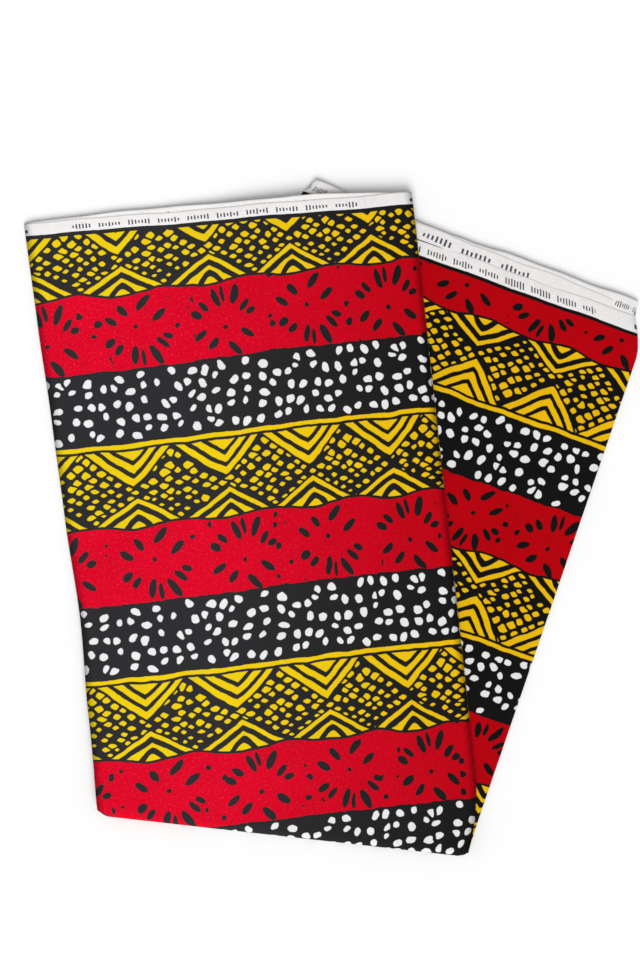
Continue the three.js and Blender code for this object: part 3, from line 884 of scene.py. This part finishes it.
def lappedTree():
    tree = bpy.data.node_groups.new("lappedCloth", "GeometryNodeTree")
    for name, value in laps.items():
        kind = "NodeSocketInt" if isinstance(value, int) else "NodeSocketFloat"
        tree.interface.new_socket(name, in_out="INPUT", socket_type=kind).default_value = value
    tree.interface.new_socket("Material", in_out="INPUT", socket_type="NodeSocketMaterial")
    tree.interface.new_socket("Geometry", in_out="OUTPUT", socket_type="NodeSocketGeometry")
    add = partial(addNode, tree)
    given = add("NodeGroupInput").node.outputs

    # a flat grid, 1 wide for each layer, without the last turn
    sizeX = add("Math", (given["Layers"], given["Turn Share"]), "SUBTRACT")
    columns = add("Math", (given["Layers"], given["Columns"]), "MULTIPLY")
    grid = add("GeometryNodeMeshGrid", {"Size X": sizeX, "Size Y": 1.0, "Vertices X": columns,
                                        "Vertices Y": given["Rows"]})
    at = add("SeparateXYZ", (add("GeometryNodeInputPosition"),))
    onCloth = add("Math", (sizeX, 0.5, at), "MULTIPLY_ADD")
    down = add("Math", (at.node.outputs[1], 0.5), "ADD")
    layer = add("Math", (onCloth,), "FLOOR")
    inLayer = add("Math", (onCloth, layer), "SUBTRACT")
    # columns stand closer together towards both ends of a layer's flat part
    flatShare = add("Math", (1.0, given["Turn Share"]), "SUBTRACT")
    flat = add("Math", (inLayer, flatShare), "DIVIDE")
    flat = add("Math", (flat, 1.0), "MINIMUM")
    eased = add("Math", (flat, math.pi), "MULTIPLY")
    eased = add("Math", (eased,), "COSINE")
    eased = add("Math", (eased, -0.3, 0.3), "MULTIPLY_ADD")
    crossed = add("Math", (flat, 0.4, eased), "MULTIPLY_ADD")
    turn = add("Math", (inLayer, flatShare), "SUBTRACT")
    turn = add("Math", (turn, 0.0), "MAXIMUM")
    turn = add("Math", (turn, given["Turn Share"]), "DIVIDE")
    turn = add("Math", (turn, math.pi), "MULTIPLY")

    # the first and last layers stop short at their free ends, and every fold slides in a little at random
    lastLayer = add("Math", (given["Layers"], -1.5), "ADD")
    isFirst = add("Math", (layer, 0.5), "LESS_THAN")
    isLast = add("Math", (layer, lastLayer), "GREATER_THAN")
    insets = []
    for shift, isFree in ((0.0, isFirst), (1.0, isLast)):
        inset = add("Math", (isFree, given["Free End"]), "MULTIPLY")
        foldId = add("Math", (layer, shift), "ADD")
        foldId = add("FunctionNodeFloatToInt", (foldId,))
        slide = add("FunctionNodeRandomValue", {2: 0.0, 3: given["Slide"], 7: foldId, 8: given["Seed"]},
                    output=1, data_type="FLOAT")
        insets.append(add("Math", (inset, slide), "ADD"))
    radius = add("Math", (given["Pitch"], 0.5), "MULTIPLY")
    endPlace = add("Math", (given["Strip Width"], insets[1]), "SUBTRACT")
    endPlace = add("Math", (endPlace, radius), "SUBTRACT")
    startPlace = add("Math", (insets[0], radius), "ADD")
    run = add("Math", (endPlace, startPlace), "SUBTRACT")
    run = add("Math", (run, crossed, startPlace), "MULTIPLY_ADD")
    bulge = add("Math", (turn,), "SINE")
    run = add("Math", (bulge, radius, run), "MULTIPLY_ADD")
    climb = add("Math", (turn,), "COSINE")
    climb = add("Math", (1.0, climb), "SUBTRACT")
    climb = add("Math", (climb, radius), "MULTIPLY")
    height = add("Math", (layer, given["Pitch"], given["First Height"]), "MULTIPLY_ADD")
    height = add("Math", (height, climb), "ADD")
    # every second layer runs the other way
    odd = add("Math", (layer, given["First Layer"]), "ADD")
    odd = add("Math", (odd, 2.0), "FLOORED_MODULO")
    mirrored = add("Math", (given["Strip Width"], run), "SUBTRACT")
    gap = add("Math", (mirrored, run), "SUBTRACT")
    across = add("Math", (gap, odd, run), "MULTIPLY_ADD")
    target = add("CombineXYZ", (across, down, height))
    # the place along the whole cloth is kept on each point before the point moves
    kept = add("GeometryNodeStoreNamedAttribute", {"Geometry": grid, "Name": "run", "Value": onCloth},
               data_type="FLOAT", domain="POINT")
    kept = add("GeometryNodeSetPosition", {"Geometry": kept, "Position": target})
    kept = add("GeometryNodeRealizeInstances", {"Geometry": kept})
    kept = add("GeometryNodeSetMaterial", {"Geometry": kept, "Material": given["Material"]})
    add("NodeGroupOutput", {0: kept})
    return tree


# How the lapped layers are laid: the share of their rows where the fold starts and ends, the stretch past
# it where the print changes over, how left corners are drawn in, and the thickness of the cloth.
lapsLaid = {
    "rowShares": (0, 0.43, 0.57, 1),
    "printChange": 0.6,
    "cornerFade": 18,
    "cornerPower": 4,
    "thickness": 0.25,
    "flatWidth": 1.18,
}


def lappedLayers():
    holder = bpy.data.objects.new("lappedLayersFlat", bpy.data.meshes.new("lappedLayersFlat"))
    bpy.context.collection.objects.link(holder)
    maker = holder.modifiers.new("laps", "NODES")
    maker.node_group = lappedTree()
    for item in maker.node_group.interface.items_tree:
        if item.in_out == "INPUT":
            maker[item.identifier] = cotton if item.name == "Material" else laps[item.name]
    flat = bpy.data.meshes.new_from_object(holder.evaluated_get(bpy.context.evaluated_depsgraph_get()))
    count = len(flat.vertices)
    points = np.zeros(count * 3)
    flat.vertices.foreach_get("co", points)
    points = points.reshape(-1, 3)
    run = np.zeros(count)
    flat.attributes["run"].data.foreach_get("value", run)
    corners = np.zeros(len(flat.loops), int)
    flat.loops.foreach_get("vertex_index", corners)
    bpy.data.objects.remove(holder)

    x = points[:, 0] / mm
    station = np.interp(points[:, 1], lapsLaid["rowShares"], (0, 1, 2, 3))
    height = points[:, 2] / mm
    layer = np.floor(run).astype(int) + laps["First Layer"]
    turned = np.clip((run - np.floor(run) - 1 + laps["Turn Share"]) / laps["Turn Share"], 0, 1)
    reaches = {}
    for wing in ("front", "back"):
        own = np.zeros(count)
        for each in range(laps["First Layer"], laps["First Layer"] + laps["Layers"]):
            mask = layer == each
            own[mask] = (reachOf(wing, each, x[mask]) * (1 - turned[mask])
                         + reachOf(wing, each + 1, x[mask]) * turned[mask])
        reaches[wing] = own
    # left corners of the back wing's layers are drawn in at the selvedge
    cornerIn = np.full(count, float(layerEnds["cornerRest"]))
    for each, inset in layerEnds["cornerIn"].items():
        cornerIn[layer == each] = inset
    fromEnd = np.minimum(3 - station, 1) * folding["fadeLength"]
    fade = np.clip(1 - fromEnd / lapsLaid["cornerFade"], 0, 1) ** 2
    moved = x + cornerIn * (1 - x / stripWidth) ** lapsLaid["cornerPower"] * fade
    points, fromFront, fromBack = layStrip(moved, station, height, reaches["front"], reaches["back"])
    clothMap = clothPlace((run + laps["First Layer"]) * stripWidth, fromFront, fromBack)
    printMap = printPlace(x, fromFront, fromBack, smooth((station - 2) / lapsLaid["printChange"]))
    printMap[:, 0] = run * stripWidth
    piece = clothPiece("lappedLayers", points, corners.reshape(-1, 4).tolist(), clothMap, printMap,
                       lapsLaid["thickness"])
    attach(piece, "root")
    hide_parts("front_second_layer", "front_inner_layers", "back_second_layer", "back_third_layer",
                "back_inner_layers")
    print("lappedLayers", len(piece.data.polygons), "faces")


faceLayer("outerLayer")
faceLayer("innerLayer")
lappedLayers()

# Camera straight above, and a wide pale floor.
view = {"middle": (-10.6, 35.3), "tall": 906.0, "height": 12.0, "lens": 85.0, "sensor": 36}
camera = bpy.data.objects.new("camera", bpy.data.cameras.new("camera"))
bpy.context.collection.objects.link(camera)
camera.data.lens = view["lens"]
camera.data.sensor_width = view["sensor"]
camera.data.clip_end = 20
away = view["tall"] / 2 / (view["sensor"] / 2 / view["lens"])
camera.location = (view["middle"][0] * mm, view["middle"][1] * mm, (view["height"] + away) * mm)
bpy.context.scene.camera = camera

paper = {"colour": "e4e4e4", "grain": 300.0, "leastShade": 0.985, "halfWidth": 16.0}


# Seamless studio paper: smooth, matt and nearly white.
def studioPaper():
    material = bpy.data.materials.new("studioPaper")
    material.use_nodes = True
    tree = material.node_tree
    tree.nodes.clear()
    add = partial(addNode, tree)
    place = add("TexCoord", output="Object")
    grain = add("TexNoise", {"Vector": place, "Scale": paper["grain"]}, output="Fac")
    tone = add("MapRange", {"Value": grain, "To Min": paper["leastShade"]})
    colour = add("VectorMath", {0: hexColour(paper["colour"], alpha=False), 3: tone}, "SCALE")
    shader = add("BsdfPrincipled", {"Base Color": colour, "Roughness": 0.9, "Specular IOR Level": 0.1})
    add("OutputMaterial", {"Surface": shader})
    return material


floorMesh = bpy.data.meshes.new("floor")
side = paper["halfWidth"]
corners = [(-side, -side, 0), (side, -side, 0), (side, side, 0), (-side, side, 0)]
floorMesh.from_pydata(corners, [], [(0, 1, 2, 3)])
floor = bpy.data.objects.new("floor", floorMesh)
floor.data.materials.append(studioPaper())
bpy.context.collection.objects.link(floor)

# A wide soft light from the near side, a closer one over the left side, and an even room.
lights = {
    "windowLight": {
        "kind": "SUN", "settings": {"energy": 2.95, "angle": math.radians(48)},
        "place": (0, 0, 0), "heading": (-0.05, 0.58, -0.8),
    },
    "softBox": {
        "kind": "AREA", "settings": {"energy": 1.5, "size": 1.4},
        "place": (-0.8, -0.1, 1.25), "heading": (0.45, 0.1, -1.25),
    },
}
roomStrength = 0.5

for name, own in lights.items():
    data = bpy.data.lights.new(name, own["kind"])
    for key, value in own["settings"].items():
        setattr(data, key, value)
    light = bpy.data.objects.new(name, data)
    light.location = own["place"]
    light.rotation_euler = Vector(own["heading"]).to_track_quat("-Z", "Y").to_euler()
    bpy.context.collection.objects.link(light)

world = bpy.data.worlds.new("room")
world.use_nodes = True
background = world.node_tree.nodes["Background"]
background.inputs[0].default_value = (1, 1, 1, 1)
background.inputs[1].default_value = roomStrength
bpy.context.scene.world = world
bpy.context.scene.view_settings.view_transform = "Standard"

print("lights and camera set")
